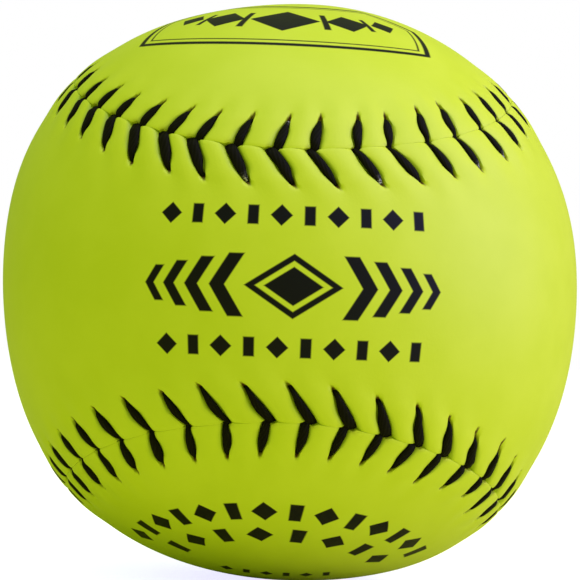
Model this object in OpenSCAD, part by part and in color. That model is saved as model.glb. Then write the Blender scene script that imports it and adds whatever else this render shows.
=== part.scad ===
// Twelve-inch softball: a moulded core under two figure-eight cover panels,
// closed by one waxed thread that is worked with two needles.
// The origin is the centre of the ball. The narrow neck of the front panel faces -Y
// and its two broad lobes lie towards +X and -X. The back panel is the same shape,
// turned a quarter round the Y axis, with its neck towards +Y and its lobes along Z.

/* [Ball] */
// Diameter over the cover
ball_d = 97; // [86:0.5:110]
// Thickness of the two cover panels
cover_t = 1.8; // [1.6:0.1:2.6]
// Film of cement between the core and the cover
cement_t = 0.1; // [0.05:0.05:0.3]

/* [Seam] */
// How strongly the seam swings out round the lobes, as a share of the ball
lobe_share = 0.47; // [0.40:0.01:0.54]
// How far the seam reaches to the front and the back, as a share of the ball
reach_share = 1.18; // [1.05:0.01:1.30]
// Gap between the edges of the two panels
seam_gap = 0.2; // [0.1:0.05:0.4]

/* [Stitches] */
// Stitches along the whole seam, an even number
stitch_count = 88; // [72:4:92]
// Distance from the seam to the needle holes
hole_off = 5.9; // [5:0.1:7]
// How much farther off the holes are along the narrow neck of a panel
neck_extra = 0.5; // [0:0.1:1]
// How far a needle hole lies behind the point of its stitch
hole_lag = 2.7; // [1.8:0.1:3.2]
// How much farther behind the holes are along the narrow neck of a panel
neck_lag = 0.7; // [0:0.1:1]

/* [Thread] */
// Width of a stitch where it lies pressed flat on the cover
leg_w = 2.2; // [1.4:0.1:2.6]
// Thickness of a stitch on the cover
leg_t = 0.8; // [0.6:0.1:1]
// Diameter of the thread where it passes through the cover
thread_d = 1; // [0.8:0.1:1.2]
// Thickness of the thread where it runs under the cover
under_t = 0.6; // [0.5:0.1:0.8]
// Room round the thread in its holes and channels
thread_clear = 0.08; // [0.05:0.01:0.15]

/* [Hidden] */

// Radii of the cover and the core
ball_r = ball_d / 2;
lining_r = ball_r - cover_t;
core_r = lining_r - cement_t;

// Facets that only smooth the picture: spheres, and holes and notches
sphere_fn = 120;
hole_fn = 24;

// The seam is measured once, in small steps of its angle
seam_steps = 1440;
// Chords along each panel edge, and rows of facets across the sector that cuts a panel out
edge_steps = 176;
row_steps = 2;
// How far the sector reaches past the cover, as a share of the ball
sector_share = 1.25;

// Needle holes, and the notches in the panel edges where the thread dives
hole_r = thread_d / 2 + thread_clear;
// Half of the distance between the two strands in one notch
dive_half = thread_d / 2 + thread_clear / 2;
notch_r = dive_half + thread_d / 2 + thread_clear;
// How far from the seam a strand turns down, and turns level again under the other panel
dive_w = notch_r - thread_d / 2;

// Heights of the thread's centre line over and under the cover
leg_r = ball_r + thread_clear / 2 + leg_t / 2;
under_r = core_r + thread_clear + under_t / 2;
// The channel in the lining that holds one run of thread
channel_top = under_r + under_t / 2 + thread_clear;
under_w = thread_d * thread_d / under_t;
channel_w = under_w + 2 * thread_clear;
cut_over = cover_t;

// Places of the two broad sections of a stitch, and their widths, as shares of its length and width
broad_place_share = [0.3, 0.7];
broad_width_share = [0.9, 1];
// Length of a strand's tail under the cover, as a share of one run there
tail_share = 0.6;
// Sides of the thread's section
thread_sides = 6;
// Half height of a six-sided section over its corner radius
flat_share = sin(60);

// Small vector helpers
function unit(v) = v / norm(v);
function blend(a, b, f) = a * (1 - f) + b * f;

// The seam as a direction from the centre, at the angle u
// u = 0 is the middle of the upper seam along the front neck
function seam(u) = unit([
    -(sin(u) + lobe_share * sin(3 * u)),
    -reach_share * cos(2 * u),
    cos(u) - lobe_share * cos(3 * u)
]);
function seam_angle(k) = 360 * k / seam_steps;

// Running length of the seam on the cover at each step
seam_run = [
    for (k = 0, s = 0; k <= seam_steps;
         s = s + ball_r * norm(seam(seam_angle(k + 1)) - seam(seam_angle(k))), k = k + 1) s
];
seam_length = seam_run[seam_steps];
length_table = [for (k = [0:seam_steps]) [seam_run[k], seam_angle(k)]];
pitch = seam_length / stitch_count;

// The seam's angle at the length s, which may lie past either end
function wrapped(s) = s - seam_length * floor(s / seam_length);
function angle_at(s) = lookup(wrapped(s), length_table);

// Direction along the seam, and across it towards the front panel
function seam_along(u) = unit(seam(u + seam_angle(1)) - seam(u - seam_angle(1)));
function seam_across(u) = cross(seam(u), seam_along(u));

// A direction at the length s along the seam and w across it, front panel positive
function off_seam(u, w) = seam(u) * cos(arc_deg(w)) + seam_across(u) * sin(arc_deg(w));
function arc_deg(w) = w / ball_r * 180 / PI;
function place(s, w) = off_seam(angle_at(s), w);

// Which panel has its neck here: 1 at the front neck, -1 at the back neck
function neck_side(s) = cos(2 * angle_at(s));

// The point of stitch i, and its needle hole on the front (1) or back (-1) panel
function point_s(i) = (i + 1 / 2) * pitch;
function hole_dir(i, side) =
    let (neck = side * neck_side(point_s(i)))
    place(point_s(i) - hole_lag - neck * neck_lag, side * (hole_off + neck * neck_extra));

// Where a strand leaves the top of one panel and starts to run under the other
function dive_top(i, side) = place(point_s(i) + side * dive_half, side * dive_w);
function dive_foot(i, side) = place(point_s(i) + side * dive_half, -side * dive_w);

// Turns a child that stands on +Z so that it stands on the direction d, heading along h
function polar(d) = acos(d[2]);
function azimuth(d) = atan2(d[1], d[0]);
function turn(d, h) =
    let (east = [-sin(azimuth(d)), cos(azimuth(d)), 0])
    atan2(h * east, h * cross(east, d));
module stand_on(d, h = [0, 0, 1]) {
    rotate([0, polar(d), azimuth(d)])
        rotate([0, 0, turn(d, h)])
            children();
}

// Sector from the centre that holds one panel. For the front panel each row of the mesh
// is a meridian about Z, from the seam above the neck to the seam below it.
function row_top(k) = off_seam(-90 + 180 * k / edge_steps, seam_gap / 2);
function row_point(k, j) =
    let (top = row_top(k))
    let (east = atan2(top[1], top[0]))
    let (rise = asin(top[2]) * (1 - 2 * j / row_steps))
    ball_r * sector_share * [cos(rise) * cos(east), cos(rise) * sin(east), sin(rise)];
module panel_sector() {
    wide = row_steps + 1;
    last = (edge_steps - 2) * wide;
    left_tip = (edge_steps - 1) * wide;
    right_tip = left_tip + 1;
    middle = left_tip + 2;
    points = [
        for (k = [1:edge_steps - 1], j = [0:row_steps]) row_point(k, j),
        row_point(0, row_steps / 2),
        row_point(edge_steps, row_steps / 2),
        [0, 0, 0]
    ];
    cap = [
        for (k = [0:edge_steps - 3], j = [0:row_steps - 1])
            let (a = k * wide + j)
            each [[a, a + 1, a + wide], [a + 1, a + wide + 1, a + wide]]
    ];
    tips = [
        for (j = [0:row_steps - 1])
            each [[j + 1, j, left_tip], [last + j, last + j + 1, right_tip]]
    ];
    walls = [
        for (k = [0:edge_steps - 3])
            let (a = k * wide)
            each [[a, a + wide, middle], [a + wide + row_steps, a + row_steps, middle]]
    ];
    corners = [
        [left_tip, 0, middle],
        [row_steps, left_tip, middle],
        [last, right_tip, middle],
        [right_tip, last + row_steps, middle]
    ];
    polyhedron(points, concat(cap, tips, walls, corners));
}

// One cover panel: a shell cut out along the seam, with its needle holes, the notches
// where the thread dives between the panels, and the channels that its runs press in the lining
module panel(side) {
    difference() {
        intersection() {
            difference() {
                sphere(r = ball_r, $fn = sphere_fn);
                sphere(r = lining_r, $fn = sphere_fn);
            }
            if (side == 1) {
                panel_sector();
            } else {
                rotate([0, 90, 0]) mirror([0, 1, 0]) panel_sector();
            }
        }
        for (i = [0:stitch_count - 1]) {
            needle_hole(i, side);
            notch(i);
            channel(i, side);
        }
    }
}
module needle_hole(i, side) {
    stand_on(hole_dir(i, side))
        translate([0, 0, core_r])
            cylinder(r = hole_r, h = cover_t + cut_over, $fn = hole_fn);
}
module notch(i) {
    stand_on(place(point_s(i), 0))
        translate([0, 0, core_r])
            cylinder(r = notch_r, h = cover_t + cut_over, $fn = hole_fn);
}
module channel(i, side) {
    from = dive_foot(i, -side);
    to = hole_dir(i + 1, side);
    span = ball_r * norm(to - from);
    lead_in = thread_d / 2;
    stand_on(unit(from + to), unit(to - from))
        translate([-span / 2 - lead_in, -channel_w / 2, core_r - cut_over])
            cube([span + lead_in, channel_w, channel_top - core_r + cut_over]);
}

// Sections of the thread, each as its centre, its heading, its side, and its half width and half height.
// A stitch comes up through its hole, lies over its own panel to the seam, dives between
// the panels and runs under the other panel to the next hole there.
function leg_heading(i, side) = unit(dive_top(i, side) - hole_dir(i, side));
function dive_heading(i, side) = unit(dive_foot(i, side) * under_r - dive_top(i, side) * leg_r);
function run_heading(i, side) = unit(hole_dir(i + 1, -side) - dive_foot(i, side));
function leg_side(i, side) = unit(cross(leg_heading(i, side), hole_dir(i, side)));
function run_side(i, side) = unit(cross(run_heading(i, side), dive_foot(i, side)));
function flat_run_r(i, side) =
    under_r / (unit(hole_dir(i + 1, -side) + dive_foot(i, side)) * dive_foot(i, side));
function leg_sections(i, side) =
    let (hole = hole_dir(i, side), top = dive_top(i, side), foot = dive_foot(i, side))
    let (along = leg_heading(i, side), across = leg_side(i, side))
    let (before = run_heading(i - 1, -side), round = thread_d / 2)
    [
        [hole * flat_run_r(i - 1, -side), unit(before + hole), run_side(i - 1, -side) * -1, round, round],
        [hole * leg_r, unit(hole + along), across, round, round],
        for (m = [0, 1])
            [unit(blend(hole, top, broad_place_share[m])) * leg_r, along, across,
             leg_w * broad_width_share[m] / 2, leg_t / 2 / flat_share],
        [top * leg_r, unit(along + dive_heading(i, side)), across, round, leg_t / 2 / flat_share],
        [foot * flat_run_r(i, side), unit(dive_heading(i, side) + run_heading(i, side)),
         run_side(i, side), round, under_t / 2 / flat_share]
    ];

// The tail of a strand, tucked in the channel that leads to the hole where it began
function tail_section(i, side) =
    let (foot = dive_foot(i, side) * flat_run_r(i, side))
    let (hole = hole_dir(i + 1, -side) * flat_run_r(i, side))
    [blend(foot, hole, tail_share), run_heading(i, side), run_side(i, side),
     thread_d / 2, under_t / 2 / flat_share];

// A strand shows on its first side at even stitches and on the other side at odd ones.
// Its section turns over at every hole, so the sign changes with the stitch.
function turned(part, sign) = [part[0], part[1], part[2] * sign, part[3], part[4]];
function stitch_sign(i) = i % 2 == 0 ? 1 : -1;
function strand_sections(first_side) =
    let (last = stitch_count - 1)
    [
        for (i = [0:last])
            for (part = leg_sections(i, first_side * stitch_sign(i)))
                turned(part, stitch_sign(i)),
        turned(tail_section(last, first_side * stitch_sign(last)), stitch_sign(last))
    ];
module strand(first_side) {
    sections = strand_sections(first_side);
    count = len(sections);
    points = [
        for (part = sections)
            let (rise = unit(cross(part[2], part[1])))
            for (q = [0:thread_sides - 1])
                let (corner = 360 * q / thread_sides)
                part[0] + part[2] * part[3] * cos(corner) + rise * part[4] * sin(corner)
    ];
    sides = [
        for (k = [0:count - 2], q = [0:thread_sides - 1])
            let (a = k * thread_sides, next = (q + 1) % thread_sides)
            each [
                [a + q, a + next, a + thread_sides + q],
                [a + next, a + thread_sides + next, a + thread_sides + q]
            ]
    ];
    start = [[for (q = [thread_sides - 1:-1:0]) q]];
    end = [[for (q = [0:thread_sides - 1]) (count - 1) * thread_sides + q]];
    polyhedron(points, concat(sides, start, end));
}
module core() {
    color("gainsboro") sphere(r = core_r, $fn = sphere_fn);
}
module front_panel() {
    color("yellowgreen") panel(1);
}
module back_panel() {
    color("olivedrab") panel(-1);
}
module first_strand() {
    color("black") strand(1);
}
module second_strand() {
    color("dimgray") strand(-1);
}

core();
front_panel();
back_panel();
first_strand();
second_strand();
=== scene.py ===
import math

import bpy
import numpy as np
from mathutils import Euler, Matrix, Vector


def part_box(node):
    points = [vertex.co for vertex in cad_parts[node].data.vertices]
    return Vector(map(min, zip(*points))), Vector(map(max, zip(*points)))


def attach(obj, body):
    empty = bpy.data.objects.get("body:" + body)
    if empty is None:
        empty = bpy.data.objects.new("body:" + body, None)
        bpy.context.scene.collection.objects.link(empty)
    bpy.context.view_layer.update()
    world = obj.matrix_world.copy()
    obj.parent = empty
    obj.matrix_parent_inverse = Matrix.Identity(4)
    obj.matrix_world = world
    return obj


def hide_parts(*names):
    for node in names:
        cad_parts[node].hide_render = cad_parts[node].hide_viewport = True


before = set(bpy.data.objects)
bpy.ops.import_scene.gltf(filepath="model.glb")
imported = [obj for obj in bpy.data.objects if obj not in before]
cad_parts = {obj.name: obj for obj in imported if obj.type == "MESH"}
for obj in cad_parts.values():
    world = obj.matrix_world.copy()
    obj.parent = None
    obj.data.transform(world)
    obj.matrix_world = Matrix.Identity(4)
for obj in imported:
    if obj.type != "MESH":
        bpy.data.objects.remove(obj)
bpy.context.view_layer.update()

# one millimetre in the frame's metres
mm = 0.001

# radii that the frame holds: the cover's, from the front panel's broad lobes, and the core's
coverRadius = (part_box("front_panel")[1].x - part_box("front_panel")[0].x) / 2
coreRadius = (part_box("core")[1].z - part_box("core")[0].z) / 2

# the ball's form under its stitches
ball = {
    "flattening": 0.0345,  # how far the lobes lie lower than the seam, as a share of the radius
    "neckShare": 0.185,  # how much the necks follow the lobes
    "meanForm": 0.23,  # keeps the ball's mean size
    "outOfRound": 0.0186,  # squeezed along one diagonal
    # small bumps and dents round the ball's outline: degrees from the right upwards, and millimetres
    "bumps": [(15, 0.4), (45, -0.35), (80, 0.45), (106, -0.55), (155, 0.5), (195, -0.25), (302, 0.7)],
    "bumpWidth": 16,  # degrees
    "coverThickness": 1.8 * mm,
    "cementGap": 0.1 * mm,
}

# the seam, the same line as the solids have but for its small drift
seam = {
    "lobeShare": 0.47,
    "reachShare": 1.18,
    "steps": 7200,
    "stitchCount": 88,
    # stitch number, and how far the seam lies there towards the front panel's middle, in millimetres
    "drift": [
        (1, 0), (3, 0.05), (5, 0.4), (7, 0.85), (9, 0.9), (13, 0), (31, 0), (34, 0.4), (38, 0.45),
        (40, 0.35), (42, 0.1), (44, 0.3), (45.5, 0), (47, -0.5), (51, -0.65), (53, -0.6), (57, 0),
        (78, 0), (81, 0.25), (83, 0.1), (85, -0.35), (87, -0.35),
    ],
    "driftBlend": (-1.2, -0.6, 0, 0.6, 1.2),  # the drift is the mean of its values so many stitches away
}

# every stitch, with the small differences of hand work
# where a value differs from panel to panel, 1 stands for the front panel and -1 for the back panel
stitching = {
    # how far the holes lie from the seam, and how far they lag behind the point of the stitch:
    # away from the necks, then what is added at a neck, at a neck on the narrow panel (taken off on the
    # broad one), and past the front neck's middle (taken off before it)
    "holeDistance": 4.15 * mm,
    "holeNeckMore": 0.87 * mm,
    "holePanelMore": 0.31 * mm,
    "holeAfterMore": {1: -0.55 * mm, -1: -1.1 * mm},
    "holeLag": 0.95 * mm,
    "holeNeckLag": 1.3 * mm,
    "holePanelLag": 0.5 * mm,
    "holeAfterLag": 1.1 * mm,
    "leanLimit": 1.2,  # past this share of the hole distance the leather's folds stop leaning back
    "leanSoftness": 0.3,
    # chance differences, up to these values either way
    "seed": 12,
    "placeWander": 0.16 * mm,
    "lagWander": 0.25 * mm,
    "distanceWander": 0.2 * mm,
    "widthWander": 0.08,
    "bowWander": 0.14 * mm,
    # stitches that lie out of their even place, in millimetres ahead
    "uneven": {
        0: 0.7, 1: 0.5, 2: 1, 4: -0.5, 5: -0.6, 6: -0.9, 7: -0.8, 34: -0.5, 35: -1, 36: -1.4, 37: -1.4,
        38: -1.1, 39: -1, 40: -0.6, 41: -0.1, 43: 0.1, 44: -0.15, 45: -0.15, 46: -0.4, 47: -0.4, 48: -0.7,
        49: -0.4, 50: -0.2, 51: -0.1, 52: 0.6, 53: 0.6, 54: 0.3, 81: -0.4, 82: -0.2, 83: 0.4, 84: 0.3,
        85: 0.9, 86: 0.2, 87: 0.85,
    },
    # holes that lag further behind, in millimetres
    "swept": {
        1: {2: 0.3, 42: 0.35, 45: -0.2, 46: -0.4, 85: 0.9, 87: 0.3},
        -1: {2: 0.3, 41: -0.3, 42: -0.5, 43: -0.3, 44: -0.8},
    },
    # holes that lie further out, in millimetres
    "longer": {
        1: {2: 0.2, 4: 0.5, 5: 0.2, 46: -0.15, 47: 0.1, 48: -0.2, 49: -0.6, 50: -0.2, 83: 0.3, 84: 0.2},
        -1: {
            34: 0.3, 35: 0.3, 36: 0.3, 37: 0.2, 38: 0.15, 40: 0.15, 42: 0.3, 43: 0.3, 44: 0.3, 45: 0.3,
            46: 0.4, 47: 0.6, 48: 0.6, 50: -0.4, 51: 0.8, 85: -0.3,
        },
    },
    # stitches that are wider, as a share of their width
    "wider": {
        8: 0.2, 9: 0.35, 34: 0.2, 35: 0.24, 36: 0.24, 37: 0.22, 38: 0.2, 39: 0.18, 40: 0.12, 41: 0.05,
        52: 0.25, 53: 0.35,
    },
    # pale wax with a painted glint at a hole, where a draw from 0 to 1 passes these limits;
    # of the seen stitches only the named ones have it
    "waxed": (0.8, 0.9),
    "seen": [*range(0, 9), *range(35, 53), *range(79, 88)],
    "seenWaxGlint": {1: [1, 82, 83, 86], -1: [0]},
    "halfWidth": {1: 0.81 * mm, -1: 0.78 * mm},
    "widthAfterMore": {1: 0.32, -1: 0.1},
    "bow": {1: 0.22 * mm, -1: -0.1 * mm},
    # a stitch is pulled tight at the seam or at its hole, and is widest there: each pair of values holds
    # the one for the first kind and the one for the second, and they change over between these limits,
    # on a scale that is above 0 before the front neck's middle and below 0 past it
    "pulled": (-0.12, 0.34),
    "lead": (0.5 * mm, 0.12 * mm),  # the two strands lie this far before and behind the point of a stitch
    "notch": (0.34 * mm, 0.22 * mm),  # how deep the panel's edge is nicked at a point
    "notchReach": (1.1 * mm, 0.65 * mm),  # and how far to both sides
    "seamFold": (1, 0.35),  # share of the seam's depth that it has between two points
    "creaseReach": (2.4 * mm, 1.8 * mm),  # how far the seam is pressed down beside a point
    # a stitch's width at the seam and at its tip, as shares of its full width, and the shares of the hole
    # distance where it is full, and from and to where it shrinks
    "root": {1: (1.05, 0.4), -1: (0.95, 0.5)},
    "tip": {1: 0.36, -1: 0.3},
    "full": {1: (0.3, 0.58), -1: (0.3, 0.52)},
    "shrinkFrom": {1: (0.47, 0.66), -1: (0.5, 0.68)},
    "shrinkTopMore": {1: 0.12, -1: 0},  # added in the upper row of stitches, taken off in the lower one
    "shrinkTo": {1: 1.14, -1: 1.08},
    # the needle's mark goes on to this share of the hole distance, and then the trough opens again
    "tail": {1: 1.23, -1: 1.265},
    "tailTopMore": {1: 0, -1: 0.045},
    "longTail": {1: {48: 0.1, 49: 0.26, 50: 0.36, 51: 0.16, 52: 0.2}, -1: {}},
    "opensPastTail": (0.02, 0.35),
}


def unit(vectors):
    return vectors / np.linalg.norm(vectors, axis=-1, keepdims=True)


def smoothStep(low, high, values):
    share = np.clip((values - low) / (high - low), 0, 1)
    return share * share * (3 - 2 * share)


def fade(limits, values):
    # 1 up to the first limit, and 0 from the second
    return 1 - smoothStep(*limits, values)


def bell(values, width):
    return np.exp(-(values / width) ** 2)


def seamPoint(angle):
    angle = np.asarray(angle, float)
    lobe = seam["lobeShare"]
    return unit(np.stack([
        -(np.sin(angle) + lobe * np.sin(3 * angle)),
        -seam["reachShare"] * np.cos(2 * angle),
        np.cos(angle) - lobe * np.cos(3 * angle),
    ], axis=-1))


# running length along the seam, so that stitches can be set out evenly
seamAngles = np.linspace(0, 2 * math.pi, seam["steps"] + 1)
seamSteps = np.linalg.norm(np.diff(seamPoint(seamAngles), axis=0), axis=1) * coverRadius
seamRuns = np.concatenate([[0], np.cumsum(seamSteps)])
seamLength = seamRuns[-1]
pitch = seamLength / seam["stitchCount"]


def angleAt(run):
    return np.interp(np.mod(run, seamLength), seamRuns, seamAngles)


def seamDrift(run):
    places, moves = np.array(seam["drift"]).T
    count = seam["stitchCount"]
    number = run / pitch - 0.5
    near = [np.interp(number + step, places, moves, period=count) for step in seam["driftBlend"]]
    return np.mean(near, axis=0) * mm


def direction(run, across):
    # unit vector at a length along the seam and a distance across it, front panel positive
    angle = angleAt(run)
    step = 2 * math.pi / seam["steps"]
    middle = seamPoint(angle)
    along = unit(seamPoint(angle + step) - seamPoint(angle - step))
    side = np.cross(middle, along)
    arc = ((across + seamDrift(run)) / coverRadius)[..., None]
    return middle * np.cos(arc) + side * np.sin(arc)


def coverHeight(directions):
    # distance of the cover from the centre, without the swelling between the stitches
    x, y, z = directions[..., 0], directions[..., 1], directions[..., 2]
    lobes = x * x - z * z - ball["neckShare"] * y
    lift = ball["flattening"] * (ball["meanForm"] - lobes ** 2)
    bumps = 0
    for turn, height in ball["bumps"]:
        towards = x * math.cos(math.radians(turn)) + z * math.sin(math.radians(turn))
        apart = np.degrees(np.arccos(np.clip(towards, -1, 1)))
        bumps = bumps + height * mm * bell(apart, ball["bumpWidth"])
    return coverRadius * (1 + lift) * (1 - ball["outOfRound"] * x * z) + bumps


def stitchTables():
    # every value that changes from stitch to stitch, once for each panel
    count = seam["stitchCount"]
    draw = np.random.default_rng(stitching["seed"])
    evenPlace = (np.arange(count) + 0.5) * pitch
    place = evenPlace + draw.uniform(-1, 1, count) * stitching["placeWander"]
    for number, ahead in stitching["uneven"].items():
        place[number] += ahead * mm
    angle = angleAt(evenPlace)
    neck = np.cos(2 * angle)  # 1 at the front neck, and -1 at the back neck
    after = neck ** 2 * np.sin(2 * angle)  # above 0 past the front neck's middle, and below 0 before it
    upper = neck ** 2 * np.cos(angle)  # above 0 in the front neck's upper row, and below 0 in its lower one
    late = smoothStep(*stitching["pulled"], -after)

    def pulled(values):
        return values[0] + (values[1] - values[0]) * late

    def wander(name):
        return draw.uniform(-1, 1, count) * stitching[name]

    tables = {}
    for side in (1, -1):
        narrow = side * neck
        table = {"place": place}
        for name in ("lead", "notch", "notchReach", "seamFold", "creaseReach"):
            table[name] = pulled(stitching[name])
        for name in ("root", "full", "shrinkFrom"):
            table[name] = pulled(stitching[name][side])
        table["shrinkFrom"] = table["shrinkFrom"] + stitching["shrinkTopMore"][side] * upper
        table["tail"] = stitching["tail"][side] + stitching["tailTopMore"][side] * upper
        lag = stitching["holeLag"] + neck ** 4 * stitching["holeNeckLag"]
        lag = lag + narrow * stitching["holePanelLag"] + after * stitching["holeAfterLag"]
        table["lag"] = lag + wander("lagWander")
        distance = stitching["holeDistance"] + neck ** 2 * stitching["holeNeckMore"]
        distance = distance + narrow * stitching["holePanelMore"]
        distance = distance + after * stitching["holeAfterMore"][side]
        table["distance"] = distance + wander("distanceWander")
        widthShare = 1 + after * stitching["widthAfterMore"][side] + wander("widthWander")
        table["width"] = stitching["halfWidth"][side] * widthShare
        table["waxGlint"] = smoothStep(*stitching["waxed"], draw.uniform(0, 1, count))
        table["bow"] = stitching["bow"][side] + wander("bowWander")

        for number, more in stitching["swept"][side].items():
            table["lag"][number] += more * mm
        for number, more in stitching["longer"][side].items():
            table["distance"][number] += more * mm
        for number, more in stitching["longTail"][side].items():
            table["tail"][number] += more
        for number, more in stitching["wider"].items():
            table["width"][number] *= 1 + more
        table["waxGlint"][stitching["seen"]] = 0
        table["waxGlint"][stitching["seenWaxGlint"][side]] = 1
        tables[side] = table
    return tables


stitches = stitchTables()


def between(side, name, where):
    # a stitch value at a whole or broken stitch number, going on round the seam
    count = seam["stitchCount"]
    values = stitches[side][name]
    turnLength = seamLength if name == "place" else 0
    extended = np.concatenate([values[-2:] - turnLength, values, values[:2] + turnLength])
    return np.interp(where, np.arange(-2, count + 2), extended)


def lean(share):
    # how far a column has fallen back at this share of the hole distance; it straightens past the hole
    limit, softness = stitching["leanLimit"], stitching["leanSoftness"]
    past = np.maximum(share - limit, 0)
    return np.minimum(share, limit) + softness * (1 - np.exp(-past / softness))


def stitchRun(side, where, share):
    # running length at a broken stitch number and a share of the hole distance
    bowed = between(side, "bow", where) * np.sin(math.pi * np.clip(share, 0, 1)) ** 2
    start = between(side, "place", where) + side * between(side, "lead", where) * (1 - lean(share))
    return start - between(side, "lag", where) * lean(share) - bowed


def halfWidth(side, where, share):
    # half the width of a stitch along its length; past its tail the trough opens again
    root = between(side, "root", where)
    body = root + (1 - root) * smoothStep(0, between(side, "full", where), share)
    shrunk = smoothStep(between(side, "shrinkFrom", where), stitching["shrinkTo"][side], share)
    body = body * (1 - (1 - stitching["tip"][side]) * shrunk)
    tail = between(side, "tail", where)
    opensFrom, opensTo = stitching["opensPastTail"]
    spread = smoothStep(tail + opensFrom, tail + opensTo, share)
    return between(side, "width", where) * (body * (1 - spread) + spread)


print("seam of", round(seamLength / mm, 1), "mm, pitch", round(pitch / mm, 3), "mm")


# the two cover panels
# shares along a stitch are of its hole distance, and shares across it of its half width
cover = {
    "pillow": 0.32 * mm,  # how far the leather swells between two stitches
    "pillowFade": (0.7, 2.2),  # from and to these shares along a stitch
    "pastHole": (0.9, 1.25),  # where the swelling changes its form
    "trough": 0.62 * mm,  # how deep a stitch presses into the leather
    "troughEdge": (0.78, 1.3),
    "troughEnd": 0.06,  # past the tail
    # it is deepest at the hole: how deep, where along the stitch, and over what length
    "holeDepth": 0.85 * mm,
    "holePlace": 0.99,
    "holeLength": 0.09,
    "seamDepth": 0.13 * mm,
    "pointDepth": 0.25 * mm,  # extra depth of the seam beside the point of a stitch
    "seamWidth": 0.32 * mm,
    "seamGap": 0.015 * mm,
    "notchFade": 0.5 * mm,
    "notchEdge": (0.7, 1),  # shares of the notch's reach
    # dark wax stain, with painted shade in the needle slits and the seam's creases, from the hole to the
    # tail, and a little at the point
    "stainAndShadeStart": (0.8, 0.98),
    "stainAndShadeEnd": 0.07,  # before the tail
    "stainAndShadeEdge": (0.75, 1.25),
    "stainAndShadeLeast": 0.36 * mm,
    "stainAndShadeNarrows": 0.6,
    "pointStainAndShade": 0.45,
    "pointStainAndShadeReach": (0.6, 1.4),
    "pointStainAndShadeWidth": 0.6 * mm,
    # painted shade: the leather darker along the thread, in and beside its trough
    "paintedThreadShadeEdge": (0.9, 1.9),
    "paintedThreadShadeEnd": (1, 1.2),
    # columns of the mesh from the middle of a stitch, at 0, to halfway to the next one, at 1;
    # the trough's wall stands at the wall share
    "columnShares": (0.2, 0.36, 0.46, 0.54, 0.62, 0.74, 0.87),
    "wallShare": 0.5,
    "widestShare": 0.8,  # of the half pitch
    # rows of the mesh: least step, what is added away from the dense places, and how it grows outwards
    "rowStep": 0.022,
    "rowMore": 0.085,
    "rowGrowth": (0.75, 0.5),
    "denseRows": [(0, 0.84, 0.16), (1.1, 0.66, 0.2)],  # place, how dense, and how far
    "stripEnd": 2.3,  # the stitched strip reaches this share of the hole distance
    "fillRows": 56,
    "liningRows": 14,
    "endBend": 6,  # how fast the fill's lines turn to the lobes' ends
    "mergeDistance": 0.0005 * mm,
    "sharpAngle": 50,
}


def rowShares():
    # rows of the stitched strip, closest together at the seam and at the holes
    end = cover["stripEnd"]
    first, growth = cover["rowGrowth"]
    shares = [0.0]
    while shares[-1] < end:
        here = shares[-1]
        near = sum(dense * bell(here - place, reach) for place, dense, reach in cover["denseRows"])
        more = cover["rowMore"] * (1 - near) * (first + growth * here / end)
        shares.append(here + cover["rowStep"] + more)
    shares[-1] = end
    return np.array(shares)


def stripHeight(side, whole, share, half, halfPitch, off, across, fromPoint):
    # swelling between the stitches, trough under a stitch, and the fold at the seam
    middle = np.clip((halfPitch - off) / (halfPitch - half), 0, 1)
    past = smoothStep(*cover["pastHole"], share)
    farSwell = np.sin(math.pi / 2 * np.minimum(off / halfPitch, 1)) ** 2
    swell = ((1 - middle ** 2) * (1 - past) + farSwell * past) * fade(cover["pillowFade"], share)
    tail = between(side, "tail", whole)
    depth = cover["trough"]
    depth = depth + (cover["holeDepth"] - depth) * bell(share - cover["holePlace"], cover["holeLength"])
    depth = depth * fade((1, tail + cover["troughEnd"]), share)
    crease = fade((0, between(side, "creaseReach", whole)), fromPoint)
    fold = cover["seamDepth"] * between(side, "seamFold", whole) + cover["pointDepth"] * crease
    pressed = depth * fade(cover["troughEdge"], off / half)
    return cover["pillow"] * swell - pressed - fold * np.exp(-across / cover["seamWidth"])


def stripMarks(side, whole, share, half, off, across, fromPoint):
    # wax, needle marks and painted shade round the holes and beside the points, and painted shade darkening
    # the leather along the thread
    tail = between(side, "tail", whole)
    stainAndShade = smoothStep(*cover["stainAndShadeStart"], share) * fade((tail - cover["stainAndShadeEnd"], tail), share)
    edge = np.maximum(half, cover["stainAndShadeLeast"]) * (1 - cover["stainAndShadeNarrows"] * smoothStep(1, tail, share))
    stainAndShade = stainAndShade * fade(cover["stainAndShadeEdge"], off / edge)
    # beside a point: dark wax and painted shade in the seam's crease
    nearPoint = fade(cover["pointStainAndShadeReach"], fromPoint / between(side, "notchReach", whole))
    stainAndShade = np.maximum(stainAndShade, cover["pointStainAndShade"] * nearPoint * bell(across, cover["pointStainAndShadeWidth"]))
    # painted shade along the thread
    paintedThreadShade = fade(cover["paintedThreadShadeEdge"], off / half) * fade(cover["paintedThreadShadeEnd"], share)
    return {"stainAndShade": stainAndShade, "paintedThreadShade": paintedThreadShade}


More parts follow.
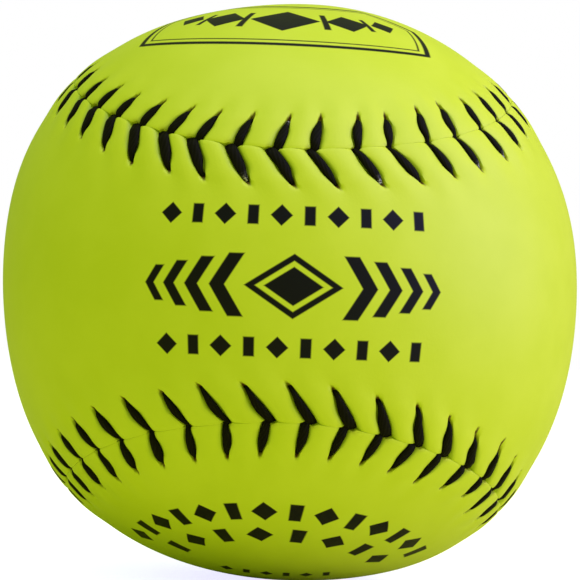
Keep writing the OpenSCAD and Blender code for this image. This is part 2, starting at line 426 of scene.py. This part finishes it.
def stripPoints(side):
    # columns follow the stitches, so that the edges of the troughs run along the mesh
    count = seam["stitchCount"]
    wall = cover["wallShare"]
    steps = cover["columnShares"]
    shares = np.array([-step for step in reversed(steps)] + [0, *steps, 1])
    whole = np.repeat(np.arange(count), len(shares)).astype(float)
    part = np.tile(shares, count)
    whole = np.concatenate([whole, whole[:1] + count])[:, None]
    part = np.concatenate([part, part[:1]])[:, None]
    share = rowShares()[None, :]
    distance = between(side, "distance", whole)
    slope = np.cos(np.arctan2(between(side, "lag", whole), distance))
    halfPitch = pitch / 2 * slope
    half = np.minimum(halfWidth(side, whole, share), cover["widestShare"] * halfPitch)
    reach = np.abs(part)
    near = reach / wall * half
    far = half + (reach - wall) / (1 - wall) * (halfPitch - half)
    off = np.where(reach <= wall, near, far)
    where = whole + np.sign(part) * off / slope / pitch
    run = stitchRun(side, where, share)
    across = between(side, "distance", where) * share

    # the notch in the panel's edge, where both strands dive
    fromPoint = np.abs(run - between(side, "place", whole))
    notch = fade(cover["notchEdge"], fromPoint / between(side, "notchReach", whole))
    nick = between(side, "notch", whole) * notch * np.exp(-across / cover["notchFade"])
    across = across + cover["seamGap"] + nick

    height = stripHeight(side, whole, share, half, halfPitch, off, across, fromPoint)
    marks = stripMarks(side, whole, share, half, off, across, fromPoint)
    directions = direction(run, side * across)
    radius = coverHeight(directions) + height
    return directions * radius[..., None], directions, marks


def acrossBall(first, last, share):
    # point on the great circle between two directions
    turn = np.arccos(np.clip(np.sum(first * last, axis=-1, keepdims=True), -1, 1))
    return (first * np.sin((1 - share) * turn) + last * np.sin(share * turn)) / np.sin(turn)


def fillDirections(loop, rows, side):
    # directions of a patch that fills a closed loop, between the two long sides of the panel
    total = len(loop)
    columns = total // 2 - rows
    lobeEnd = total // 4 if side == 1 else 0
    loop = np.roll(loop, -(lobeEnd + rows // 2), axis=0)
    # one long side, one end, the other long side backwards, and the other end backwards
    top = loop[:columns + 1]
    rightEnd = loop[columns:columns + rows + 1]
    bottom = loop[columns + rows:2 * columns + rows + 1][::-1]
    leftEnd = np.concatenate([loop[2 * columns + rows:], loop[:1]])[::-1]
    share = np.linspace(0, 1, rows + 1)[None, :, None]
    patch = acrossBall(top[:, None], bottom[:, None], share)
    along = np.linspace(0, 1, columns + 1)[:, None, None]
    toLeft = (1 - along) ** cover["endBend"] * (leftEnd[None] - patch[:1])
    toRight = along ** cover["endBend"] * (rightEnd[None] - patch[-1:])
    return unit(patch + toLeft + toRight)


def addGrid(name, points, marks=None):
    # a flat grid with one vertex for each of the points, laid onto them; marks are a named value for each
    columns, rows = points.shape[0] - 1, points.shape[1] - 1
    bpy.ops.object.select_all(action="DESELECT")
    bpy.ops.mesh.primitive_grid_add(x_subdivisions=columns, y_subdivisions=rows, size=2)
    sheet = bpy.context.object
    sheet.name = name
    flat = np.zeros(len(sheet.data.vertices) * 3, np.float32)
    sheet.data.vertices.foreach_get("co", flat)
    flat = flat.reshape(-1, 3)
    column = np.rint((flat[:, 0] + 1) / 2 * columns).astype(int)
    row = np.rint((flat[:, 1] + 1) / 2 * rows).astype(int)
    sheet.data.vertices.foreach_set("co", points[column, row].astype(np.float32).ravel())
    for markName, values in (marks or {}).items():
        attribute = sheet.data.attributes.new(markName, "FLOAT", "POINT")
        attribute.data.foreach_set("value", values[column, row].astype(np.float32))
    sheet.data.update()
    return sheet


def joinSheets(name, sheets, sharpAngle):
    # one piece from sheets whose edges lie on each other
    bpy.ops.object.select_all(action="DESELECT")
    for sheet in sheets:
        sheet.select_set(True)
    bpy.context.view_layer.objects.active = sheets[0]
    if len(sheets) > 1:
        bpy.ops.object.join()
    piece = bpy.context.object
    piece.name = name
    piece.data.name = name
    bpy.ops.object.mode_set(mode="EDIT")
    bpy.ops.mesh.select_all(action="SELECT")
    bpy.ops.mesh.remove_doubles(threshold=cover["mergeDistance"])
    bpy.ops.mesh.normals_make_consistent(inside=False)
    bpy.ops.object.mode_set(mode="OBJECT")
    bpy.ops.object.shade_smooth_by_angle(angle=math.radians(sharpAngle))
    return piece


def liningPoint(directions):
    # the inner face of a panel, which stays outside the core's film of cement
    inner = np.maximum(coverHeight(directions) - ball["coverThickness"], coreRadius + ball["cementGap"])
    return directions * inner[..., None]


def makePanel(name, side):
    points, directions, marks = stripPoints(side)
    strip = addGrid(name + "Strip", points, marks)
    patch = fillDirections(directions[:-1, -1], cover["fillRows"], side)
    fill = addGrid(name + "Fill", patch * coverHeight(patch)[..., None])
    edge = directions[:, 0]
    wall = addGrid(name + "Wall", np.stack([points[:, 0], liningPoint(edge)], axis=1))
    inside = fillDirections(edge[:-1], cover["liningRows"], side)
    lining = addGrid(name + "Lining", liningPoint(inside))
    piece = joinSheets(name, [strip, fill, wall, lining], cover["sharpAngle"])
    print(name, len(piece.data.polygons), "faces")
    return piece


# the two strands of the thread; shares along a stitch are of its hole distance
thread = {
    "thickness": 0.78 * mm,
    "endThickness": 0.7,  # share of the thickness at both ends of a stitch
    "endLength": 0.25,
    "roundRadius": 0.45 * mm,
    "seamFlatness": 0.8,  # share of the round radius where the thread dives at the seam
    "underThickness": 0.56 * mm,
    "underHalfWidth": 0.5 * mm,
    "sink": 0.1 * mm,  # how deep a stitch's middle line lies in its trough
    "holeSink": 0.5 * mm,
    "holeDive": (0.86, 1.03),
    "seamSink": 0.55 * mm,
    "seamDive": (0, 0.26),
    "seamDiveBend": 1.5,
    "holeShare": 1.05,  # where the thread goes through the cover
    "turnHeight": 0.9 * mm,  # how far above its hidden run the thread turns upright
    "diveAcross": (0.25 * mm, 0.75 * mm),  # how far past the seam it goes down, and lies level again
    "waxGlintLength": 0.06,
    "legSections": 13,
    "sides": 10,
    "sectionBends": (0.9, 0.8),  # below 1 the section is fuller than an ellipse
    "sideClearance": 0.06 * mm,
    "leastSide": 0.35,  # a section's side is taken from its neighbours where it is less clear than this
    "sharpAngle": 60,
}


def legPart(number, side):
    # one stitch: up through its hole, over its panel, down at the seam and under the other panel
    share = np.linspace(1, 0, thread["legSections"])
    where = np.full_like(share, number)
    run = stitchRun(side, where, share)
    across = side * between(side, "distance", where) * share
    directions = direction(run, across)
    sink = thread["sink"]
    atHole = smoothStep(*thread["holeDive"], share) ** 2
    atSeam = fade(thread["seamDive"], share) ** thread["seamDiveBend"]
    sinks = sink + (thread["holeSink"] - sink) * atHole + (thread["seamSink"] - sink) * atSeam
    centres = directions * (coverHeight(directions) - sinks)[:, None]
    half = halfWidth(side, where, share) - thread["sideClearance"]
    ends, length = thread["endThickness"], thread["endLength"]
    middle = smoothStep(0, length, share) * fade((1 - length, 1), share)
    thick = thread["thickness"] / 2 * (ends + (1 - ends) * middle)

    # the hidden run starts under the hole and ends under the other panel
    underThick = thread["underThickness"] / 2
    underRadius = coreRadius + ball["cementGap"] + underThick
    turnRadius = underRadius + thread["turnHeight"]
    holeAt = thread["holeShare"]
    only = where[:1]
    holeRun = stitchRun(side, only, np.array([holeAt]))
    hole = direction(holeRun, side * between(side, "distance", only) * holeAt)
    dive = direction(np.repeat(run[-1], 2), -side * np.array(thread["diveAcross"]))
    divePoints = dive * np.array([turnRadius, underRadius])[:, None]
    roundHalf = thread["roundRadius"]
    seamThick = roundHalf * thread["seamFlatness"]
    underHalf = thread["underHalfWidth"]
    # pale wax with a painted glint near the hole end of some stitches
    waxGlint = between(side, "waxGlint", where) * bell(share - 1, thread["waxGlintLength"])
    return {
        "waxGlint": np.concatenate([[0, 0], waxGlint, [0, 0]]),
        "centres": np.concatenate([hole * underRadius, hole * turnRadius, centres, divePoints]),
        "half": np.concatenate([[underHalf, roundHalf], half, [roundHalf, underHalf]]),
        "thick": np.concatenate([[underThick, roundHalf], thick, [seamThick, underThick]]),
    }


def sideDirections(centres, heading, perPart):
    # the way of the flat thread's width at every section
    sideways = np.cross(heading, unit(centres))
    weight = np.linalg.norm(sideways, axis=1, keepdims=True)
    clear = weight > thread["leastSide"]
    sideways = np.where(clear, sideways / np.where(clear, weight, 1), 0)
    # where the thread runs up or down, its side is taken from its neighbours
    for start in range(0, len(centres), perPart):
        end = start + perPart - 1
        sideways[start + 1:start + 3] = sideways[start + 3]
        sideways[end - 1] = sideways[end - 3]
    sideways[0] = sideways[1]
    sideways[-1] = sideways[-2]
    for index in range(1, len(centres)):
        if np.dot(sideways[index], sideways[index - 1]) < 0:
            sideways[index] *= -1
    return unit(sideways - heading * np.sum(sideways * heading, axis=1, keepdims=True))


def makeStrand(name, firstSide):
    # the strand changes from panel to panel with every stitch
    parts = []
    for number in range(seam["stitchCount"]):
        parts.append(legPart(number, firstSide if number % 2 == 0 else -firstSide))
    whole = {key: np.concatenate([part[key] for part in parts]) for key in parts[0]}
    heading = unit(np.gradient(whole["centres"], axis=0))
    sideways = sideDirections(whole["centres"], heading, len(parts[0]["centres"]))
    rise = np.cross(sideways, heading)
    turn = np.linspace(0, 2 * math.pi, thread["sides"] + 1)
    wideBend, highBend = thread["sectionBends"]
    wide = np.sign(np.cos(turn)) * np.abs(np.cos(turn)) ** wideBend
    high = np.sign(np.sin(turn)) * np.abs(np.sin(turn)) ** highBend
    points = (
        whole["centres"][:, None]
        + sideways[:, None] * (whole["half"][:, None] * wide[None, :])[..., None]
        + rise[:, None] * (whole["thick"][:, None] * high[None, :])[..., None]
    )
    waxGlint = np.repeat(whole["waxGlint"][:, None], thread["sides"] + 1, axis=1)
    strand = joinSheets(name, [addGrid(name, points, {"waxGlint": waxGlint})], thread["sharpAngle"])
    # both ends are closed
    bpy.ops.object.mode_set(mode="EDIT")
    bpy.ops.mesh.select_all(action="SELECT")
    bpy.ops.mesh.fill_holes(sides=thread["sides"])
    bpy.ops.mesh.select_all(action="SELECT")
    bpy.ops.mesh.normals_make_consistent(inside=False)
    bpy.ops.object.mode_set(mode="OBJECT")
    print(name, len(strand.data.polygons), "faces")
    return strand


frontPanel = makePanel("frontPanel", 1)
backPanel = makePanel("backPanel", -1)
firstStrand = makeStrand("firstStrand", 1)
secondStrand = makeStrand("secondStrand", -1)


class Wire:
    # one socket of a shader tree, so that maths on sockets is written as maths on numbers
    def __init__(self, tree, socket):
        self.tree = tree
        self.socket = socket

    def mathNode(self, operation, *values):
        made = self.tree.nodes.new("ShaderNodeMath")
        made.operation = operation
        for slot, value in zip(made.inputs, values):
            setSocket(self.tree, slot, value)
        return Wire(self.tree, made.outputs[0])

    def maths(self, operation, *others):
        return self.mathNode(operation, self, *others)

    def __add__(self, other):
        return self.maths("ADD", other)

    __radd__ = __add__

    def __mul__(self, other):
        return self.maths("MULTIPLY", other)

    __rmul__ = __mul__

    def __sub__(self, other):
        return self.maths("SUBTRACT", other)

    def __rsub__(self, other):
        return self.mathNode("SUBTRACT", other, self)

    def __truediv__(self, other):
        return self.maths("DIVIDE", other)

    def __neg__(self):
        return self * -1

    def __abs__(self):
        return self.maths("ABSOLUTE")

    def less(self, other):
        return self.maths("MINIMUM", other)

    def more(self, other):
        return self.maths("MAXIMUM", other)


def setSocket(tree, socket, value):
    if isinstance(value, Wire):
        tree.links.new(value.socket, socket)
    else:
        socket.default_value = value


class Nodes:
    # a shader tree that is put together node by node
    def __init__(self, tree):
        self.tree = tree

    def fill(self, made, values):
        for name, value in values.items():
            setSocket(self.tree, made.inputs[name], value)

    def node(self, kind, settings=None, values=None, output=0):
        made = self.tree.nodes.new("ShaderNode" + kind)
        for name, setting in (settings or {}).items():
            setattr(made, name, setting)
        self.fill(made, values or {})
        return Wire(self.tree, made.outputs[output])

    def place(self):
        return self.node("TexCoord", output="Object")

    def toCamera(self):
        # 1 where the camera sees it directly, and 0 for the light that it throws on other things
        return self.node("LightPath", output="Is Camera Ray")

    def mark(self, name):
        # the value that addGrid has stored on the mesh
        return self.node("Attribute", {"attribute_name": name}, output="Fac")

    def split(self, vector):
        made = self.node("SeparateXYZ", {}, {0: vector}).socket.node
        return [Wire(self.tree, socket) for socket in made.outputs]

    def ramp(self, wire, low, high, first=0.0, last=1.0):
        return self.node("MapRange", {"interpolation_type": "SMOOTHSTEP"}, {
            "Value": wire, "From Min": low, "From Max": high, "To Min": first, "To Max": last,
        })

    def blend(self, share, first, second):
        return self.node("Mix", {"data_type": "RGBA"}, {0: share, 6: first, 7: second}, 2)

    def noise(self, place, size, detail=2.0):
        return self.node("TexNoise", {}, {
            "Vector": place, "Scale": 1 / size, "Detail": detail, "Roughness": 0.5,
        })

    def cells(self, place, size):
        return self.node("TexVoronoi", {}, {"Vector": place, "Scale": 1 / size})

    def bump(self, height):
        return self.node("Bump", {}, {"Height": height, "Distance": 1.0, "Strength": 1.0})


class Finish(Nodes):
    # a material on the shader that it starts with
    def __init__(self, name):
        self.material = bpy.data.materials.new(name)
        self.material.use_nodes = True
        super().__init__(self.material.node_tree)

    def surface(self, values):
        self.fill(self.tree.nodes["Principled BSDF"], values)
        return self.material


# the generic print: rhombi, chevrons, bars and rules, in millimetres on the cover
printing = {
    "ink": (0.0035, 0.0035, 0.003, 1),
    "softness": 0.3,
    "barShares": (0.5, 0.9),  # a bar's size beside that of the rhombi in its row
    "rhombus": (7.2, 4.7),
    "rhombusRing": (0.6, 0.78),
    # place, half height and width
    "chevrons": [(9.8, 4.6, 2.3), (13.9, 4.0, 2.0), (17.6, 3.3, 1.7), (20.9, 2.6, 1.4)],
    "chevronSlope": 0.62,
    "rowHeights": (10.3, -8.9),
    "neckRow": (4.2, 21, 1.65, 1.6),  # spacing, reach and half size of its marks
    # the upper lobe's frame: middle as turn and reach in degrees, half size, slope and width of its ends
    "frameMiddle": (-6, 29.3),
    "frameHalfSize": (23.5, 9.4),
    "frameSlope": 0.45,
    "frameEnd": 0.9,
    "frameLines": ((0, 0.8), (1.5, 0.3)),  # inset and width
    "frameRhombi": [(0, 5.6, 4.6), (10, 3.7, 3.4), (16.3, 2.2, 2.4)],  # place and half size
    "frameBars": [(6.3, 0.5, 3.4), (13.4, 0.4, 2.6)],
    # the lower lobe's arcs: their axis, then reach, spacing and limit of each in degrees, and half size
    "arcAxis": (-0.014, -0.336, -0.942),
    "arcs": [(26.6, 12.6, 88.2, 2, 2.1), (19.7, 20.5, 82, 2.1, 2)],
    "innerRow": (3.2, 9.6, 1.1, 1.5),  # spacing, reach and half size of its marks
}


def rhombus(a, b, halfWide, halfHigh):
    # shapes are above 0 inside, by the distance to their edge
    return (1 - abs(a) / halfWide - abs(b) / halfHigh) * min(halfWide, halfHigh)


def bar(a, b, halfWide, halfHigh):
    return (halfWide - abs(a)).less(halfHigh - abs(b))


def marksInRow(along, across, spacing, reach, halfWide, halfHigh):
    # bars and rhombi by turns, cut off at both ends of the row
    evenNumber = 100  # counted from far to the left, so that no number is below 0
    number = along / spacing + evenNumber
    place = (number.maths("FRACT") - 0.5) * spacing
    odd = number.maths("FLOOR").maths("MODULO", 2.0)
    wideShare, highShare = printing["barShares"]
    rhombi = rhombus(place, across, halfWide, halfHigh)
    bars = bar(place, across, halfWide * wideShare, halfHigh * highShare)
    return (rhombi * odd + bars * (1 - odd)).less(reach - abs(along))


def neckMotif(a, b):
    # rhombus with a ring in it, chevrons pointing out to both sides, and two rows of marks
    wide, high = printing["rhombus"]
    ringIn, ringOut = printing["rhombusRing"]
    hole = rhombus(a, b, wide * ringIn, high * ringIn)
    ring = rhombus(a, b, wide * ringOut, high * ringOut).less(-hole)
    shape = rhombus(a, b, wide, high).less(-ring)
    fromMiddle, fromAxis = abs(a), abs(b)
    for place, half, width in printing["chevrons"]:
        band = width / 2 - abs(fromMiddle + printing["chevronSlope"] * (fromAxis - half / 2) - place)
        shape = shape.more(band.less(half - fromAxis))
    for height in printing["rowHeights"]:
        shape = shape.more(marksInRow(a, b - height, *printing["neckRow"]))
    return shape


def frameMotif(turn, reach):
    # a six-sided frame of two lines with rhombi and bars in it, on the upper lobe
    radius = coverRadius / mm
    middleTurn, middleReach = (math.radians(value) for value in printing["frameMiddle"])
    a = abs((turn - middleTurn) * (radius * math.sin(middleReach)))
    b = abs((reach - middleReach) * radius)
    wide, high = printing["frameHalfSize"]
    inside = (high - b).less((wide - a - b * printing["frameSlope"]) * printing["frameEnd"])
    lines = [width / 2 - abs(inside - inset - width / 2) for inset, width in printing["frameLines"]]
    rhombi = [rhombus(a - place, b, *halfSize) for place, *halfSize in printing["frameRhombi"]]
    bars = [bar(a - place, b, *halfSize) for place, *halfSize in printing["frameBars"]]
    shape, *others = lines + rhombi + bars
    for other in others:
        shape = shape.more(other)
    return shape


def arcMotif(finish, heading):
    # two arcs of marks round one axis on the lower lobe, and a short row within them
    radius = coverRadius / mm
    axis = Vector(printing["arcAxis"]).normalized()
    aside = Vector((1, 0, 0)).cross(axis).cross(axis).normalized()
    aside = -aside if aside.x < 0 else aside
    ahead = axis.cross(aside)
    ahead = -ahead if ahead.y > 0 else ahead
    along, forward, up = (
        finish.node("VectorMath", {"operation": "DOT_PRODUCT"}, {0: heading, 1: way}, "Value")
        for way in (aside, ahead, axis)
    )
    turn = along.maths("ARCTAN2", forward)
    reach = up.maths("ARCCOSINE")
    shape = marksInRow(along * radius, forward * radius, *printing["innerRow"])
    for *degrees, halfWide, halfHigh in printing["arcs"]:
        arcReach, spacing, limit = (math.radians(value) for value in degrees)
        ring = radius * math.sin(arcReach)
        across = (reach - arcReach) * radius
        arc = marksInRow(turn * ring, across, spacing * ring, limit * ring, halfWide, halfHigh)
        shape = shape.more(arc)
    return shape.less(up * radius)


# the cover's synthetic leather, with the print on it
leather = {
    "colour": (0.66, 0.795, 0.012, 1),
    "paleColour": (0.69, 0.82, 0.02, 1),
    "paleFrom": (0.3, 0.7),
    "mottleSize": 9 * mm,
    # colour and share of the painted shade along the thread
    "paintedThreadShade": (0.26, 0.42, 0.006, 1),
    "paintedThreadShadeShare": 0.6,
    "stainAndShade": (0.08, 0.025, 0.001, 1),
    "stainAndShadeBreakSize": 0.6 * mm,
    "stainAndShadeBreak": (0.2, 0.6, 0.7, 1.0),  # where the stain and painted shade are thin, they are down to this share
    "roughness": 0.5,
    "roughnessWander": 0.1,
    "roughnessSize": 2.5 * mm,
    "inkGloss": 0.04,
    "specular": 0.07,
    "coat": 0.65,
    "inkCoat": 0.18,
    "coatRoughness": 0.6,
    "grainSize": 0.42 * mm,
    "grainDepth": 0.012 * mm,
    "fineShare": 0.3,  # of the grain, and its size as a share of the grain's
    "fineSize": 0.6,
    "waveSize": 5 * mm,
    "waveDepth": 0.05 * mm,
}


def printedInk(finish, place):
    # 1 where the cover is printed: the neck in front, the upper lobe and the lower lobe
    x, y, z = finish.split(place)
    length = finish.node("VectorMath", {"operation": "LENGTH"}, {0: place}, "Value")
    heading = finish.node("VectorMath", {"operation": "NORMALIZE"}, {0: place})
    radius = coverRadius / mm
    turn = x.maths("ARCTAN2", -y)
    rise = (z / length).maths("ARCSINE")
    shape = neckMotif(turn * radius, rise * radius).less(-y / mm)
    shape = shape.more(frameMotif(turn, math.pi / 2 - rise)).more(arcMotif(finish, heading))
    return finish.ramp(shape / printing["softness"], -0.5, 0.5)


def leatherFinish():
    finish = Finish("coverLeather")
    place = finish.place()
    ink = printedInk(finish, place)
    mottle = finish.ramp(finish.noise(place, leather["mottleSize"], 3.0), *leather["paleFrom"])
    base = finish.blend(mottle, leather["colour"], leather["paleColour"])
    # painted shade along the thread, in a deeper green
    base = finish.blend(finish.mark("paintedThreadShade") * leather["paintedThreadShadeShare"], base, leather["paintedThreadShade"])
    # dark wax with painted shade in the needle slits, the tails and the seam's creases beside the points
    stainAndShadeBreak = finish.ramp(finish.noise(place, leather["stainAndShadeBreakSize"]), *leather["stainAndShadeBreak"])
    stainAndShade = (finish.mark("stainAndShade") * stainAndShadeBreak).less(1.0)
    base = finish.blend(stainAndShade, base, leather["stainAndShade"])
    base = finish.blend(ink, base, printing["ink"])

    grain = finish.cells(place, leather["grainSize"]) * (1 - leather["fineShare"])
    grain = grain + finish.noise(place, leather["grainSize"] * leather["fineSize"]) * leather["fineShare"]
    waves = finish.noise(place, leather["waveSize"])
    height = grain * leather["grainDepth"] + waves * leather["waveDepth"]
    wander = (finish.noise(place, leather["roughnessSize"], 3.0) - 0.5) * leather["roughnessWander"]
    return finish.surface({
        "Base Color": base,
        "Roughness": leather["roughness"] + wander - ink * leather["inkGloss"],
        "Specular IOR Level": leather["specular"],
        "Coat Weight": leather["coat"] - ink.more(stainAndShade) * (leather["coat"] - leather["inkCoat"]),
        "Coat Roughness": leather["coatRoughness"],
        "Normal": finish.bump(height),
    })


# the waxed thread
waxedThread = {
    "colour": (0.0045, 0.004, 0.0015, 1),
    "paleColour": (0.012, 0.011, 0.005, 1),
    # pale wax with painted glints at some holes
    "waxGlintColour": (0.55, 0.53, 0.46, 1),
    "waxGlintSize": 0.3 * mm,
    "waxGlintFrom": (0.42, 0.55),
    "roughness": 0.55,
    "roughnessWander": 0.2,
    "specular": 0.035,
    "twistsAlong": 500,
    "twistSlant": 9,
    "twistDepth": 0.03 * mm,
    "fibreSize": 0.12 * mm,
    "fibreDepth": 0.01 * mm,
}


def threadFinish():
    finish = Finish("waxedThread")
    place = finish.place()
    u, v = finish.split(finish.node("TexCoord", output="UV"))[:2]
    turns = u * waxedThread["twistsAlong"] + v * waxedThread["twistSlant"]
    twist = (turns * (2 * math.pi)).maths("SINE") * 0.5 + 0.5
    fibres = finish.noise(place, waxedThread["fibreSize"])
    base = finish.blend(twist * 0.5 + fibres * 0.5, waxedThread["colour"], waxedThread["paleColour"])
    # pale wax with painted glints, in spots near some holes
    waxGlintSpots = finish.ramp(finish.noise(place, waxedThread["waxGlintSize"], 1.0), *waxedThread["waxGlintFrom"])
    base = finish.blend(finish.mark("waxGlint") * waxGlintSpots, base, waxedThread["waxGlintColour"])
    return finish.surface({
        "Base Color": base,
        "Roughness": waxedThread["roughness"] - (fibres - 0.5) * waxedThread["roughnessWander"],
        "Specular IOR Level": waxedThread["specular"],
        "Normal": finish.bump(twist * waxedThread["twistDepth"] + fibres * waxedThread["fibreDepth"]),
    })


# the core's moulded foam, with fine closed cells
foam = {
    "colour": (0.74, 0.71, 0.6, 1),
    "paleColour": (0.83, 0.81, 0.72, 1),
    "toneSize": 12 * mm,
    "roughness": 0.68,
    "roughnessWander": 0.15,
    "cellSize": 0.7 * mm,
    "cellDepth": 0.05 * mm,
}


def foamFinish():
    finish = Finish("coreFoam")
    place = finish.place()
    tone = finish.noise(place, foam["toneSize"], 3.0)
    return finish.surface({
        "Base Color": finish.blend(tone, foam["colour"], foam["paleColour"]),
        "Roughness": foam["roughness"] + (tone - 0.5) * foam["roughnessWander"],
        "Normal": finish.bump(finish.cells(place, foam["cellSize"]) * foam["cellDepth"]),
    })


# the pale floor, which looks white to the camera and throws warm light back onto the ball
paleFloor = {
    "size": 6,
    "colour": (0.8, 0.8, 0.16, 1),
    "paleColour": (0.84, 0.84, 0.18, 1),
    "toneSize": 0.4,
    "roughness": 0.85,
    "glow": (0.8, 0.77, 1, 1),
}


def floorFinish():
    finish = Finish("paleFloor")
    tone = finish.noise(finish.place(), paleFloor["toneSize"])
    return finish.surface({
        "Base Color": finish.blend(tone, paleFloor["colour"], paleFloor["paleColour"]),
        "Roughness": paleFloor["roughness"],
        "Emission Color": finish.blend(finish.toCamera(), (0, 0, 0, 1), paleFloor["glow"]),
        "Emission Strength": 1,
    })


def dress(piece, material):
    piece.data.materials.clear()
    piece.data.materials.append(material)


coverMaterial = leatherFinish()
threadMaterial = threadFinish()

for piece, node, slot, material in (
    (frontPanel, "front_panel", "cover", coverMaterial),
    (backPanel, "back_panel", "cover", coverMaterial),
    (firstStrand, "first_strand", "thread", threadMaterial),
    (secondStrand, "second_strand", "thread", threadMaterial),
):
    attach(piece, "root")
    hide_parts(node)
    dress(piece, material)
dress(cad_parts["core"], foamFinish())
print("finishes on all pieces")


# camera at the photograph's place
view = {
    "tilt": (-0.0189, 0.0131, -0.0362),  # how the ball lies before the camera, radians
    "distance": 378.6 * mm,
    "asideAndUp": (0.139 * mm, 0.38 * mm),
    "lens": 141.8,
    "sensorWidth": 36,
    "clip": (0.01, 20),
}
turnUp = Euler((math.radians(90), 0, 0)).to_matrix()
cameraTurn = turnUp @ Euler(view["tilt"]).to_matrix().transposed()
bpy.ops.object.camera_add()
camera = bpy.context.object
camera.data.lens = view["lens"]
camera.data.sensor_width = view["sensorWidth"]
camera.data.clip_start, camera.data.clip_end = view["clip"]
cameraPlace = cameraTurn @ Vector((*view["asideAndUp"], view["distance"]))
camera.matrix_world = Matrix.Translation(cameraPlace) @ cameraTurn.to_4x4()
bpy.context.scene.camera = camera

# the floor touches the ball's lowest point
lowest = min(vertex.co.z for vertex in backPanel.data.vertices)
bpy.ops.mesh.primitive_plane_add(size=paleFloor["size"], location=(0, 0, lowest))
floor = bpy.context.object
floor.name = "floor"
dress(floor, floorFinish())

lighting = {
    "ambient": (0.34, 0.43, 0.135, 1),
    "backdrop": (1, 1, 1, 1),
    # place, size, power and colour of each soft light
    "lights": {
        "rightLight": ((1.14, -0.18, 0.3), 1.0, 6, (1, 0.83, 3)),
        "highLight": ((0.54, -0.42, 0.96), 0.8, 4.9, (1, 0.83, 2.1)),
        "topLight": ((-0.1, -0.1, 0.95), 0.6, 2.1, (0.88, 1, 1.05)),
    },
}
for name, (place, size, power, colour) in lighting["lights"].items():
    bpy.ops.object.light_add(type="AREA", location=place)
    light = bpy.context.object
    light.name = name
    light.data.size = size
    light.data.energy = power
    light.data.color = colour
    light.rotation_euler = (-Vector(place)).to_track_quat("-Z", "Y").to_euler()

# the room lights softly, and what is seen behind the ball is white
world = bpy.data.worlds.new("studio")
world.use_nodes = True
studio = Nodes(world.node_tree)
roomColour = studio.blend(studio.toCamera(), lighting["ambient"], lighting["backdrop"])
studio.fill(world.node_tree.nodes["Background"], {"Color": roomColour, "Strength": 1})
bpy.context.scene.world = world
bpy.context.scene.view_settings.view_transform = "Standard"
print("camera, floor and lights in place")
